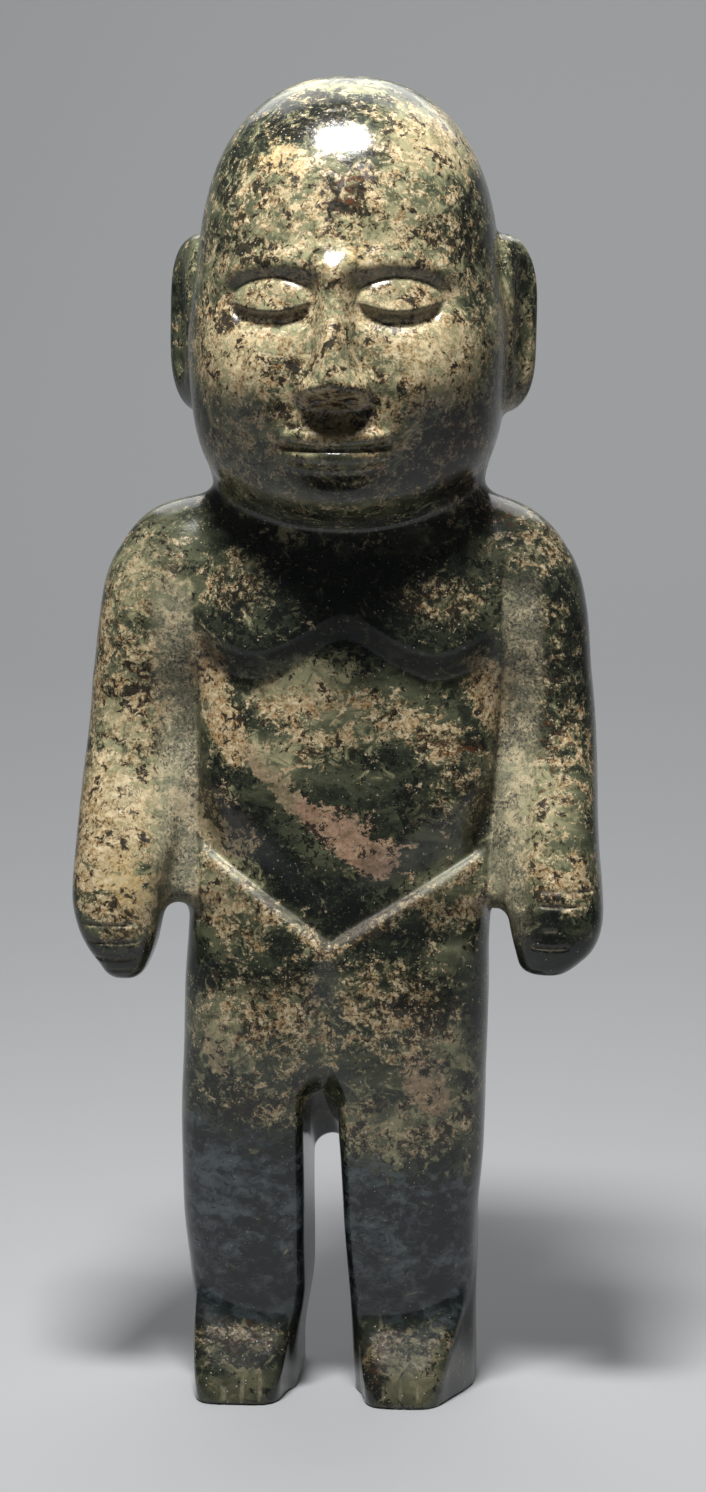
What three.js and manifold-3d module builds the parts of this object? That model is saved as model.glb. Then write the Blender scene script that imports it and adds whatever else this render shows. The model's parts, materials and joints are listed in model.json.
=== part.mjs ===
// Serpentine standing figure, one carved stone. Millimetres, z up, the figure faces -y.
import * as THREE from 'three';
import { mergeVertices } from 'three/addons/utils/BufferGeometryUtils.js';
import Module from 'manifold-3d';

// Head
const HEAD_X = 2.4;
const CROWN_Z = 252;
const CROWN = [34, 37, 48];
const JAW_Z = 230;
const JAW = [33.2, 33, 29];
const EAR_OUT = 36.5;
const EAR_Z = 244.9;
const EAR_TURN = 0.42;
const EAR_HALF = [3.4, 8.4, 20.4];
const EAR_TUCK = 3.4;
const BROW_Z = 258.4;
const EYE_X = 14;
const EYE_Z = 250;
const EYE = [9.2, 5];
const MOUTH_Z = 218.2;
const MOUTH_HALF = 12.4;

// Trunk and arms
const NECK = [30.6, 17];
const NECK_SLOPE_Z = 198;
const SHOULDER_Z = 180;
const SHOULDER = [19.8, 16.6, 25.2];
const ARM_TOP = 190;
const LEFT_HAND = { end: 97.2, edge: 40, wristEdge: 43.6 };
const RIGHT_HAND = { end: 99.9, edge: 45.4, wristEdge: 45.4 };
const WEB = [8.5, 9.25, 36.2];
const BREASTBONE_X = 3;
const PAD_LIFT = 3.6;
const PAD_BEVEL = 5.2;
const CREASE_X = -0.5;
const CREASE_Z = 105.8;
const CREASE_RISE = [0.742, 0.62];
const BELLY_DEPTH = 1.7;

// Legs and feet
const GAP_X = -2.4;
const GAP_HALF = 4.35;
const GAP_TOP = 58.6;
const GAP_LEAN = 0.6;
const TOE_Y = -25.8;
const TOE_HEIGHT = 3.6;
const INSTEP = 1.34;
const LEFT_FOOT = { toe: [-12.0, -30.8], heel: [-9.4, -32.4] };
const RIGHT_FOOT = { toe: [8.4, 24.8], heel: [5.2, 31.2] };

// Meshing
const CELL = 1.25;
const LOW = [-66, -50, -6];
const HIGH = [66, 44, 305];
const TRIANGLES = 9700;
const FACE_WEIGHT = 3.5;
const UNDERSIDE = -3.4;
const BLOCK = 4;

// height, left side, right side, front, back
const TRUNK = [
  [0, -32.6, 31.4, -13.0, 18.5],
  [14, -33.1, 31.5, -14.5, 18.0],
  [29, -34.1, 32.0, -16.2, 17.0],
  [42, -35.3, 32.4, -17.2, 16.6],
  [56, -35.6, 33.5, -18.2, 17.2],
  [75, -35.2, 34.1, -19.4, 19.2],
  [92, -34.6, 34.5, -20.2, 20.6],
  [106, -33.8, 34.6, -20.0, 20.0],
  [124, -33.0, 36.2, -18.8, 17.4],
  [142, -32.6, 37.8, -19.4, 16.4],
  [162, -32.4, 38.4, -18.6, 17.6],
  [182, -32.2, 38.2, -17.6, 19.4],
  [198, -30.0, 35.0, -15.5, 18.8],
  [212, -26.0, 31.0, -12.0, 16.0],
];

// height, outer and inner distance from the middle, how far each sits to the right, front, back
const ARM = [
  [96.6, 50.0, 0.8, 45.6, 0.4, -19.5, -14.0],
  [98, 51.1, 0.3, 44.2, 0.8, -22.0, -11.0],
  [101, 53.7, 0.8, 42.3, 0.6, -23.8, -8.0],
  [105, 57.4, 1.5, 40.9, 0.7, -24.8, -5.2],
  [110, 59.6, 1.4, 39.8, 0.6, -25.1, -2.2],
  [116, 60.3, 0.9, 38.8, 0.6, -24.8, 1.8],
  [126, 59.7, 0.5, 37.3, 1.2, -22.8, 8.0],
  [134, 59.2, 0.5, 36.5, 1.3, -20.2, 11.8],
  [142, 58.8, 0.6, 35.7, 1.6, -17.0, 14.2],
  [150, 58.4, 0.7, 34.9, 2.0, -14.2, 15.7],
  [158, 57.9, 0.8, 33.8, 2.3, -12.8, 16.4],
  [166, 57.1, 0.7, 32.2, 2.5, -12.6, 16.9],
  [176, 55.1, 0.7, 29.8, 2.8, -12.6, 17.6],
  [190, 51.2, 0.7, 26.5, 2.5, -11.5, 16.5],
];

// distance from the breastbone, height of the chest pads' lower edge
const PAD_EDGE = [
  [0, 175.2], [3, 174.4], [7, 172.0], [11, 169.6], [16, 167.3],
  [20, 166.2], [25, 167.0], [30, 169.4], [35, 172.4], [42, 177.0],
];

// height, how far the nose stands out, its half width
const NOSE = [
  [222, 0, 8.4], [226.6, 0.2, 8.4], [229.4, 4.4, 8.6], [231.4, 7.6, 8.2], [234, 8.2, 7.0],
  [240, 6.6, 5.8], [248, 4.4, 5.2], [254, 3.0, 5.4], [260, 1.6, 6.6], [268, 0.5, 9.0], [278, 0, 10.0],
];

const clamp = (v, low, high) => Math.min(high, Math.max(low, v));

function smoothstep(from, to, v) {
  const t = clamp((v - from) / (to - from), 0, 1);
  return t * t * (3 - 2 * t);
}

function softMin(a, b, r) {
  const h = Math.max(r - Math.abs(a - b), 0) / r;
  return Math.min(a, b) - (h * h * r) / 4;
}

const softMax = (a, b, r) => -softMin(-a, -b, r);

const hill = (u, v, wide, high) => Math.exp(-((u / wide) ** 2) - (v / high) ** 2);

// Distance to a rounded outline: its scaled radius divided by how fast that grows
function oval(u, v, halfU, halfV, power) {
  const a = Math.abs(u) / halfU;
  const b = Math.abs(v) / halfV;
  const g = (a ** power + b ** power + 1e-9) ** (1 / power);
  const slope = g ** (1 - power) * Math.hypot(a ** (power - 1) / halfU, b ** (power - 1) / halfV);
  return (g - 1) / Math.max(slope, 1 / 60);
}

function egg(x, y, z, halfX, halfY, halfZ, power) {
  const a = Math.abs(x) / halfX;
  const b = Math.abs(y) / halfY;
  const c = Math.abs(z) / halfZ;
  const g = (a ** power + b ** power + c ** power + 1e-9) ** (1 / power);
  const lean = power - 1;
  const slope = g ** -lean * Math.hypot(a ** lean / halfX, b ** lean / halfY, c ** lean / halfZ);
  return (g - 1) / Math.max(slope, 1 / 60);
}

function slab(x, y, z, halfX, halfY, halfZ, radius) {
  const a = Math.abs(x) - halfX + radius;
  const b = Math.abs(y) - halfY + radius;
  const c = Math.abs(z) - halfZ + radius;
  const outside = Math.hypot(Math.max(a, 0), Math.max(b, 0), Math.max(c, 0));
  return outside + Math.min(Math.max(a, b, c), 0) - radius;
}

// Smooth curve through a table's rows, read at one value of their first column
function curve(rows) {
  const last = rows.length - 1;
  const memory = { at: NaN, values: [] };
  return (at) => {
    if (at === memory.at) return memory.values;
    const v = clamp(at, rows[0][0], rows[last][0]);
    let i = 0;
    while (i < last - 1 && v >= rows[i + 1][0]) i += 1;
    const [a, b] = [rows[i], rows[i + 1]];
    const h = b[0] - a[0];
    const q = (v - a[0]) / h;
    const before = rows[Math.max(i - 1, 0)];
    const after = rows[Math.min(i + 2, last)];
    memory.at = at;
    memory.values = a.slice(1).map((start, k) => {
      const end = b[k + 1];
      const slopeA = (end - before[k + 1]) / (b[0] - before[0]);
      const slopeB = (after[k + 1] - start) / (after[0] - a[0]);
      const rise = q * q * (3 - 2 * q);
      return start + (end - start) * rise + h * q * (1 - q) * (slopeA * (1 - q) - slopeB * q);
    });
    return memory.values;
  };
}

const trunkAt = curve(TRUNK);
const armAt = curve(ARM);
const padEdgeAt = curve(PAD_EDGE);
const noseAt = curve(NOSE);

function between(x, y, left, right, front, back, power) {
  const wide = (right - left) / 2;
  const deep = (back - front) / 2;
  return oval(x - left - wide, y - front - deep, wide, deep, power);
}

function trunk(x, y, z) {
  const [left, right, front, back] = trunkAt(z);
  const shape = between(x, y, left, right, front, back, 3.2);
  const top = 193.5 + 0.0125 * (x - HEAD_X) ** 2 + 0.22 * (y + 16);
  return softMax(shape, (z - top) * 0.9, 9);
}

// Height above the V that parts belly and hips, measured square to its arms
function overCrease(x, z) {
  const reach = x - CREASE_X;
  const rise = reach < 0 ? -CREASE_RISE[0] * reach : CREASE_RISE[1] * reach;
  return (z - CREASE_Z - rise) * 0.82;
}

// How far the chest pads stand out: a bevel along their lower edge, then level, fading upwards
function padLift(x, z) {
  const across = Math.abs(x - BREASTBONE_X);
  const over = softMax(z - padEdgeAt(across)[0], 0, 1.4);
  const bevel = softMin(over / PAD_BEVEL, 1, 0.5);
  return PAD_LIFT * bevel * smoothstep(206, 180, z) * hill(across - 19, 0, 22, 1);
}

function torso(x, y, z) {
  const front = smoothstep(4, -6, y);
  const above = overCrease(x, z);
  const plain = trunk(x, y, z);
  const belly = plain + front * BELLY_DEPTH * smoothstep(13, 0.5, above);
  const hips = softMax(plain - 0.5 * front, above, 2.8);
  const chest = softMin(belly, hips, 0.6) - front * padLift(x, z);
  const depth = (2.2 * smoothstep(106, 90, z) + 0.3) * smoothstep(108, 102, z);
  const cleft = front * depth * hill(x - GAP_X - 0.9, 0, 3, 1);
  return chest + cleft + smoothstep(6, 14, y) * backRelief(x - 0.02 * (z - 105), z);
}

// Spine furrow, shoulder blades, seat and calves, cut in or standing out of the plain back
function backRelief(across, z) {
  const s = Math.abs(across);
  const furrow = 1.5 * hill(s, 0, 3.6, 1) * smoothstep(96, 116, z) * smoothstep(198, 178, z);
  const cleft = 2.4 * hill(s, 0, 2.6, 1) * smoothstep(64, 76, z) * smoothstep(112, 100, z);
  const blades = 1.2 * hill(s - 17, z - 172, 12, 17);
  const seat = 2.2 * hill(s - 16, z - 88, 14, 16);
  const calves = 1.4 * hill(s - 18, z - 36, 10, 18);
  return furrow + cleft - blades - seat - calves;
}

// The slot between the legs, an arch whose top falls towards the back; it widens towards the feet
function legGap(x, y, z) {
  const top = GAP_TOP - GAP_LEAN * y;
  const low = clamp(60 - z, 0, 60);
  const across = x - GAP_X;
  const widened = across > 0 ? 0.065 * low - 0.8 : 2.4 * smoothstep(34, 54, low);
  const half = GAP_HALF + widened * smoothstep(0, 3, Math.abs(across));
  return Math.hypot(across, Math.max(z - top, 0)) - half;
}

function foot(x, y, z, side) {
  const { toe, heel } = side < 0 ? LEFT_FOOT : RIGHT_FOOT;
  const t = smoothstep(-26, -4, y);
  const flare = side * 0.1 * Math.min(z, 20) * (1 - t);
  const inner = toe[0] + (heel[0] - toe[0]) * t - flare;
  const outer = toe[1] + (heel[1] - toe[1]) * t + flare;
  const sides = Math.abs(x - (inner + outer) / 2) - Math.abs(outer - inner) / 2;
  const plan = softMax(softMax(sides, TOE_Y - y, 6), y - 8, 4);
  const top = TOE_HEIGHT + INSTEP * (y - TOE_Y);
  return softMax(plan, (z - top) * 0.6, 3);
}

function arm(x, y, z, side) {
  const [outer, outerShift, inner, innerShift, front, back] = armAt(z);
  const a = side * outer + outerShift;
  const b = side * inner + innerShift;
  const power = 2.5 + 0.6 * smoothstep(156, 140, z);
  const limb = between(x, y, Math.min(a, b), Math.max(a, b), front, back, power);
  const hand = side < 0 ? LEFT_HAND : RIGHT_HAND;
  const edge = hand.edge + (hand.wristEdge - hand.edge) * smoothstep(125, 132, z);
  const bevel = (edge - side * (x - 0.8)) * 0.62 + (front + 0.3 - y) * 0.78;
  const length = softMax(softMax(softMax(limb, bevel, 1.8), hand.end - z, 2.6), z - ARM_TOP, 6);
  const middle = side < 0 ? -33.7 : 35.6;
  const shoulder = egg(x - middle, y - 2.5, z - SHOULDER_Z, ...SHOULDER, 2.05);
  const lean = 0.2 * Math.max(150 - z, 0);
  const web = slab(x - 3 - side * 38, y - 0.75 + lean, z - 150, ...WEB, 4.5);
  return softMin(softMin(length, shoulder, 6), web, 4);
}

function neck(x, y, z) {
  const round = oval(x - HEAD_X, y - 0.2, ...NECK, 2.5);
  const column = softMax(softMax(round, z - 216, 6), 180 - z, 4);
  const out = Math.abs(x - HEAD_X);
  const ridge = NECK_SLOPE_Z - 0.56 * Math.max(out - 27, 0);
  const slope = Math.hypot(Math.max(out - 37, 0), y - 3, z - ridge) - 11.5;
  return softMin(column, slope, 4);
}

// A rounded flap turned a little forwards, its ends tucked in, dished on the outside
function ear(x, y, z, side) {
  const [thick, deepest, tall] = EAR_HALF;
  const high = z - EAR_Z;
  const across = side * (x - HEAD_X) - EAR_OUT + EAR_TUCK * Math.min(Math.abs(high) / tall, 1) ** 4;
  const deep = y - 7;
  const u = across * Math.cos(EAR_TURN) - deep * Math.sin(EAR_TURN);
  const v = across * Math.sin(EAR_TURN) + deep * Math.cos(EAR_TURN);
  const flap = softMax(oval(v, high, deepest, tall, 3), Math.abs(u) - thick, 3);
  const dish = egg(u - 4.6, v + 0.6, high - 0.4, 2.6, 4.4, 14, 2.6);
  return softMax(flap, -dish, 1.4);
}

// How far the carving of the face stands out from the plain skull
function face(x, z) {
  const s = Math.abs(x);
  const [noseHeight, noseWidth] = noseAt(z);
  const t = clamp(s / noseWidth, 0, 1);
  let h = noseHeight * (1 - t * t) ** 2 * (1 + 0.7 * t * t);
  h += 2.6 * hill(s - 5.6, z - 231.4, 2.9, 2.9);
  const brow = BROW_Z - 0.012 * (s - 12) ** 2;
  h += 1.5 * hill(z - brow, 0, 3.4, 1) * smoothstep(32, 18, s);
  h -= 3 * hill(s - EYE_X, z - EYE_Z - 0.4, 9.6, 5);
  const lid = 1 - ((s - EYE_X) / EYE[0]) ** 2 - ((z - EYE_Z) / EYE[1]) ** 2;
  h += 3.3 * Math.max(lid, 0) ** 0.75;
  h += 2.4 * hill(s - 19, z - 232.5, 10, 9);
  h += 3 * hill(x, z - 218.5, 13, 9);
  h += 5 * hill(x, z - 206.5, 13, 6.2);
  const width = Math.max(1 - (x / MOUTH_HALF) ** 2, 0);
  const mouth = MOUTH_Z + 0.004 * x * x;
  const upper = (z - mouth - 2) / (0.7 + 1.5 * width ** 0.5);
  const lower = (mouth - 2.2 - z) / (0.7 + 1.7 * width ** 0.5);
  h += 2.3 * width ** 0.5 * Math.exp(-(upper ** 4));
  h += 2.5 * width ** 0.6 * Math.exp(-(Math.abs(lower) ** 3));
  return h - 0.6 * hill(x, z - 225, 2, 2.6);
}

function head(x, y, z) {
  const across = x - HEAD_X;
  const crown = egg(across, y - 1.5, z - CROWN_Z, ...CROWN, 2.35);
  const jaw = egg(across, y - 0.5, z - JAW_Z, ...JAW, 2.8);
  let shape = softMin(crown, jaw, 12) - face(across, z) * smoothstep(-8, -20, y);
  for (const side of [-1, 1]) shape = softMin(shape, ear(x, y, z, side), 1.5);
  return shape;
}

// Below zero inside the stone, about the distance to its surface elsewhere
function stone(x, y, z) {
  if (z < UNDERSIDE + 1) return Math.max(stone(x, y, UNDERSIDE + 1), UNDERSIDE - z);
  if (z > 225) return head(x, y, z);
  let body = softMax(torso(x, y, z), -legGap(x, y, z), 6);
  if (z < 40) {
    for (const side of [-1, 1]) body = softMin(body, foot(x, y, z, side), 2);
  }
  if (z > 85) {
    const blend = 2 + 2.4 * smoothstep(124, 115, z);
    for (const side of [-1, 1]) body = softMin(body, arm(x, y, z, side), blend);
  }
  if (z < 165) return body;
  body = softMin(body, neck(x, y, z), 4);
  return softMin(body, head(x, y, z), 3);
}

// Moves a point straight onto the surface
function settle(p) {
  let [x, y, z] = p;
  const e = 0.2;
  for (let round = 0; round < 2; round += 1) {
    const here = stone(x, y, z);
    const dx = (stone(x + e, y, z) - here) / e;
    const dy = (stone(x, y + e, z) - here) / e;
    const dz = (stone(x, y, z + e) - here) / e;
    const move = clamp(here / Math.max(dx * dx + dy * dy + dz * dz, 0.05), -0.8, 0.8);
    x -= dx * move;
    y -= dy * move;
    z -= dz * move;
  }
  return [x, y, z];
}

// The six sides of a cell as rings of corners; an edge is its lower corner and its direction's bit
const SIDES = [1, 2, 4].flatMap((bit) => {
  const [p, q] = [1, 2, 4].filter((other) => other !== bit);
  const ring = [0, p, p | q, q];
  return [ring, ring.map((corner) => corner | bit)];
});
const edgeOf = (a, b) => (Math.min(a, b) << 3) | (a ^ b);

// Groups a cell's crossed edges into the separate sheets of surface that pass through it
function sheets(here) {
  const group = new Map();
  for (const ring of SIDES) {
    for (let i = 0; i < 4; i += 1) {
      if (here[ring[i]] >= 0 || here[ring[(i + 3) % 4]] < 0) continue;
      let end = i;
      while (here[ring[(end + 1) % 4]] < 0) end += 1;
      const a = edgeOf(ring[i], ring[(i + 3) % 4]);
      const b = edgeOf(ring[end % 4], ring[(end + 1) % 4]);
      const joined = [...(group.get(a) ?? [a]), ...(group.get(b) ?? [b])];
      const unique = [...new Set(joined)];
      for (const edge of unique) group.set(edge, unique);
    }
  }
  return new Set(group.values());
}

// One corner for every sheet in a cell, one square across every crossed edge
function skin() {
  const size = LOW.map((v, i) => Math.ceil((HIGH[i] - v) / CELL) + 1);
  const strides = [1, size[0], size[0] * size[1]];
  const values = new Float64Array(size[0] * size[1] * size[2]);
  const place = (axis, i) => LOW[axis] + i * CELL;
  const half = (BLOCK - 1) / 2;
  for (let k = 0; k < size[2]; k += BLOCK) {
    for (let j = 0; j < size[1]; j += BLOCK) {
      for (let i = 0; i < size[0]; i += BLOCK) {
        const rough = stone(place(0, i + half), place(1, j + half), place(2, k + half));
        const near = Math.abs(rough) < BLOCK * CELL * 1.4;
        for (let c = k; c < Math.min(k + BLOCK, size[2]); c += 1) {
          for (let b = j; b < Math.min(j + BLOCK, size[1]); b += 1) {
            for (let a = i; a < Math.min(i + BLOCK, size[0]); a += 1) {
              const value = near ? stone(place(0, a), place(1, b), place(2, c)) : rough;
              values[a + b * strides[1] + c * strides[2]] = value;
            }
          }
        }
      }
    }
  }
  const corners = [0, 1, 2, 3, 4, 5, 6, 7].map((c) => [c & 1, (c >> 1) & 1, (c >> 2) & 1]);
  const points = [];
  const pointOf = new Map();
  for (let k = 0; k < size[2] - 1; k += 1) {
    for (let j = 0; j < size[1] - 1; j += 1) {
      for (let i = 0; i < size[0] - 1; i += 1) {
        const base = i + j * strides[1] + k * strides[2];
        const here = corners.map((c) => values[base + c[0] + c[1] * strides[1] + c[2] * strides[2]]);
        const inside = here.filter((v) => v < 0).length;
        if (inside === 0 || inside === 8) continue;
        for (const sheet of sheets(here)) {
          const sum = [0, 0, 0];
          for (const edge of sheet) {
            const a = edge >> 3;
            const b = a | (edge & 7);
            const t = here[a] / (here[a] - here[b]);
            for (let axis = 0; axis < 3; axis += 1) {
              sum[axis] += corners[a][axis] + (corners[b][axis] - corners[a][axis]) * t;
            }
            pointOf.set(base * 64 + edge, points.length);
          }
          const middle = sum.map((v) => v / sheet.length);
          points.push(settle([place(0, i + middle[0]), place(1, j + middle[1]), place(2, k + middle[2])]));
        }
      }
    }
  }
  const triangles = [];
  for (let k = 1; k < size[2] - 1; k += 1) {
    for (let j = 1; j < size[1] - 1; j += 1) {
      for (let i = 1; i < size[0] - 1; i += 1) {
        const base = i + j * strides[1] + k * strides[2];
        for (let axis = 0; axis < 3; axis += 1) {
          const from = values[base] < 0;
          if (from === values[base + strides[axis]] < 0) continue;
          const u = (axis + 1) % 3;
          const v = (axis + 2) % 3;
          const ring = [[0, 0], [1, 0], [1, 1], [0, 1]].map(([backU, backV]) => {
            const cell = base - backU * strides[u] - backV * strides[v];
            const corner = (backU << u) | (backV << v);
            return pointOf.get(cell * 64 + (corner << 3 | (1 << axis)));
          });
          if (!from) ring.reverse();
          triangles.push([ring[0], ring[1], ring[2]], [ring[0], ring[2], ring[3]]);
        }
      }
    }
  }
  return { points, triangles };
}

const minus = (a, b) => [a[0] - b[0], a[1] - b[1], a[2] - b[2]];
const dot = (a, b) => a[0] * b[0] + a[1] * b[1] + a[2] * b[2];
const cross = (a, b) => [
  a[1] * b[2] - a[2] * b[1],
  a[2] * b[0] - a[0] * b[2],
  a[0] * b[1] - a[1] * b[0],
];

class Heap {
  constructor() {
    this.items = [];
  }

  push(item) {
    const list = this.items;
    let i = list.push(item) - 1;
    while (i > 0) {
      const parent = (i - 1) >> 1;
      if (list[parent].cost <= list[i].cost) break;
      [list[parent], list[i]] = [list[i], list[parent]];
      i = parent;
    }
  }

  pop() {
    const list = this.items;
    const top = list[0];
    const last = list.pop();
    if (list.length === 0) return top;
    list[0] = last;
    let i = 0;
    for (;;) {
      let least = i;
      for (const child of [2 * i + 1, 2 * i + 2]) {
        if (child < list.length && list[child].cost < list[least].cost) least = child;
      }
      if (least === i) return top;
      [list[least], list[i]] = [list[i], list[least]];
      i = least;
    }
  }
}

// Spends triangles where the surface bends: the cheapest edges are merged until few enough are left
function thin({ points, triangles }, target) {
  const around = points.map(() => new Set());
  triangles.forEach((tri, t) => tri.forEach((p) => around[p].add(t)));
  const quadrics = points.map(() => new Float64Array(10));
  const alive = new Uint8Array(triangles.length).fill(1);
  const version = new Int32Array(points.length);
  const normalOf = (a, b, c) => cross(minus(b, a), minus(c, a));
  for (const tri of triangles) {
    const [a, b, c] = tri.map((p) => points[p]);
    const n = normalOf(a, b, c);
    const area = Math.hypot(...n);
    if (area < 1e-12) continue;
    const unit = n.map((v) => v / area);
    const plane = [...unit, -dot(unit, a)];
    const inFace = a[2] > 200 && a[1] < -14;
    const weight = area * (inFace ? FACE_WEIGHT : 1);
    for (const p of tri) {
      let slot = 0;
      for (let i = 0; i < 4; i += 1) {
        for (let j = i; j < 4; j += 1) {
          quadrics[p][slot] += plane[i] * plane[j] * weight;
          slot += 1;
        }
      }
    }
  }
  const error = (q, [x, y, z]) =>
    q[0] * x * x + 2 * q[1] * x * y + 2 * q[2] * x * z + 2 * q[3] * x + q[4] * y * y
    + 2 * q[5] * y * z + 2 * q[6] * y + q[7] * z * z + 2 * q[8] * z + q[9];
  const matrix = new THREE.Matrix3();
  const spot = new THREE.Vector3();
  function plan(a, b) {
    const q = quadrics[a].map((v, i) => v + quadrics[b][i]);
    const middle = points[a].map((v, i) => (v + points[b][i]) / 2);
    const options = [points[a], points[b], middle];
    matrix.set(q[0], q[1], q[2], q[1], q[4], q[5], q[2], q[5], q[7]);
    const span = q[0] + q[4] + q[7];
    if (Math.abs(matrix.determinant()) > 1e-5 * span ** 3) {
      spot.set(-q[3], -q[6], -q[8]).applyMatrix3(matrix.invert());
      const best = spot.toArray();
      const length = Math.hypot(...minus(points[a], points[b]));
      if (Math.hypot(...minus(best, middle)) < 1.5 * length) options.push(best);
    }
    let at = middle;
    let cost = Infinity;
    for (const option of options) {
      const value = error(q, option);
      if (value < cost) [at, cost] = [option, value];
    }
    const length = Math.hypot(...minus(points[a], points[b]));
    return { a, b, at, cost: cost + 1e-4 * length ** 2, stamp: version[a] + version[b] };
  }
  const neighbours = (p) => {
    const found = new Set();
    for (const t of around[p]) for (const q of triangles[t]) if (q !== p) found.add(q);
    return found;
  };
  const heap = new Heap();
  for (let p = 0; p < points.length; p += 1) {
    for (const q of neighbours(p)) if (q > p) heap.push(plan(p, q));
  }
  function turns(p, other, at) {
    for (const t of around[p]) {
      const tri = triangles[t];
      if (tri.includes(other)) continue;
      const was = normalOf(...tri.map((v) => points[v]));
      const now = normalOf(...tri.map((v) => (v === p ? at : points[v])));
      const size = Math.hypot(...now);
      if (dot(was, now) < 0.3 * Math.hypot(...was) * size || size < 1e-3) return true;
      const longest = Math.max(...tri.map((v, i) => {
        const w = tri[(i + 1) % 3];
        return Math.hypot(...minus(v === p ? at : points[v], w === p ? at : points[w]));
      }));
      if (size < 0.12 * longest * longest) return true;
    }
    return false;
  }
  let left = triangles.length;
  while (left > target && heap.items.length > 0) {
    const { a, b, at, stamp } = heap.pop();
    if (version[a] < 0 || version[b] < 0 || stamp !== version[a] + version[b]) continue;
    const shared = [...neighbours(a)].filter((p) => neighbours(b).has(p));
    if (shared.length !== 2 || turns(a, b, at) || turns(b, a, at)) continue;
    points[a] = at;
    quadrics[a] = quadrics[a].map((v, i) => v + quadrics[b][i]);
    for (const t of [...around[b]]) {
      if (triangles[t].includes(a)) {
        for (const p of triangles[t]) around[p].delete(t);
        alive[t] = 0;
        left -= 1;
      } else {
        triangles[t] = triangles[t].map((p) => (p === b ? a : p));
        around[a].add(t);
      }
    }
    around[b].clear();
    version[b] = -1;
    version[a] += 1;
    for (const p of neighbours(a)) heap.push(plan(a, p));
  }
  return { points, triangles: triangles.filter((tri, t) => alive[t]) };
}

function toGeometry({ points, triangles }) {
  const geometry = new THREE.BufferGeometry();
  const position = new Float32Array(points.flat());
  geometry.setAttribute('position', new THREE.BufferAttribute(position, 3));
  geometry.setIndex(triangles.flat());
  return geometry;
}

const wasm = await Module();
wasm.setup();

function toSolid(geometry) {
  const bare = geometry.clone();
  bare.deleteAttribute('normal');
  bare.deleteAttribute('uv');
  const merged = mergeVertices(bare, 1e-5);
  return new wasm.Manifold(new wasm.Mesh({
    numProp: 3,
    vertProperties: new Float32Array(merged.attributes.position.array),
    triVerts: new Uint32Array(merged.index.array),
  }));
}

const carved = toSolid(toGeometry(thin(skin(), TRIANGLES)));
const ground = new THREE.BoxGeometry(200, 200, 40).translate(0, 0, -20);
const cut = carved.subtract(toSolid(ground)).getMesh();

const body = new THREE.BufferGeometry();
body.setAttribute('position', new THREE.BufferAttribute(new Float32Array(cut.vertProperties), 3));
body.setIndex(new THREE.BufferAttribute(new Uint32Array(cut.triVerts), 1));
body.computeBoundingBox();
const box = body.boundingBox;
body.translate(-(box.min.x + box.max.x) / 2, -(box.min.y + box.max.y) / 2, 0);
body.computeVertexNormals();

const stoneMaterial = new THREE.MeshStandardMaterial({ color: 0x4b5a3f, roughness: 0.35 });
const figure = new THREE.Mesh(body, stoneMaterial);
figure.name = 'standing_figure';

const group = new THREE.Group();
group.name = 'serpentine_figure';
group.add(figure);

export default group;
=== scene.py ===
# Serpentine standing figure: one stone, carved in the round and polished.
# The carving is worked out in millimetres, z up, the figure facing -y.
from math import cos, radians, sin
import json

import bpy
import numpy as np
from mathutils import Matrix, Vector

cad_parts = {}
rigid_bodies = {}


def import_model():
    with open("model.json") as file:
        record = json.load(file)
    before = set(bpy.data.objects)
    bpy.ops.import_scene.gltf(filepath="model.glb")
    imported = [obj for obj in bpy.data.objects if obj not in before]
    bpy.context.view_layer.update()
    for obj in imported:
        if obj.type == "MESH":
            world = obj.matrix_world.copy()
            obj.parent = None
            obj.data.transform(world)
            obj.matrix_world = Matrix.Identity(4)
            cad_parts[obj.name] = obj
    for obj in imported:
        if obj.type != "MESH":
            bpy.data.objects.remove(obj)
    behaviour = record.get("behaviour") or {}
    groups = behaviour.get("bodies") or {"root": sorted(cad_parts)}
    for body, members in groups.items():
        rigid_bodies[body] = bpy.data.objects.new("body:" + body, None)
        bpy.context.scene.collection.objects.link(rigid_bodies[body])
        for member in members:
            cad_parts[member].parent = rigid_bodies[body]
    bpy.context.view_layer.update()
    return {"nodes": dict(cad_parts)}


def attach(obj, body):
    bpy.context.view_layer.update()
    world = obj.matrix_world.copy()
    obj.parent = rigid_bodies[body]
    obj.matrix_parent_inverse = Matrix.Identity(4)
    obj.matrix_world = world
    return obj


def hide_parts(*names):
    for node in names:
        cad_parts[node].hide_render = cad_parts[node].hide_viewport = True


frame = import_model()
bpy.ops.object.select_all(action="DESELECT")

MM = 0.001

# The solid is centred on its footprint, the carving's own numbers are measured from the breastbone
FOOTPRINT_X = 0.94
FOOTPRINT_Y = -2.95

# Driving sizes of the figure
HEAD_X = 2.4
CROWN_Z = 252
CROWN_HALF = (34, 37, 48)
JAW_Z = 230
JAW_HALF = (33.2, 33, 29)
NECK_HALF = (30.6, 17)
# The gap between the legs: where it runs, half its width and its top under the middle of the body
GAP_X = -2.4
GAP_HALF = 4.35
GAP_TOP = 58.6
PADS_X = 3
PADS_HALF = 36
PAD_LIFT = 3.6
PAD_BEVEL = 5.2
# The V over the hips: its low point and how steeply its arms rise to the left and right
CREASE_X = -0.5
CREASE_Z = 105.8
CREASE_RISE = (0.742, 0.62)
ARM_TOP = 190
# Height where a hand ends, how far out its inner edge runs at the hand and at the wrist
LEFT_HAND = (97.2, 40, 43.6)
RIGHT_HAND = (99.9, 45.4, 45.4)
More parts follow.
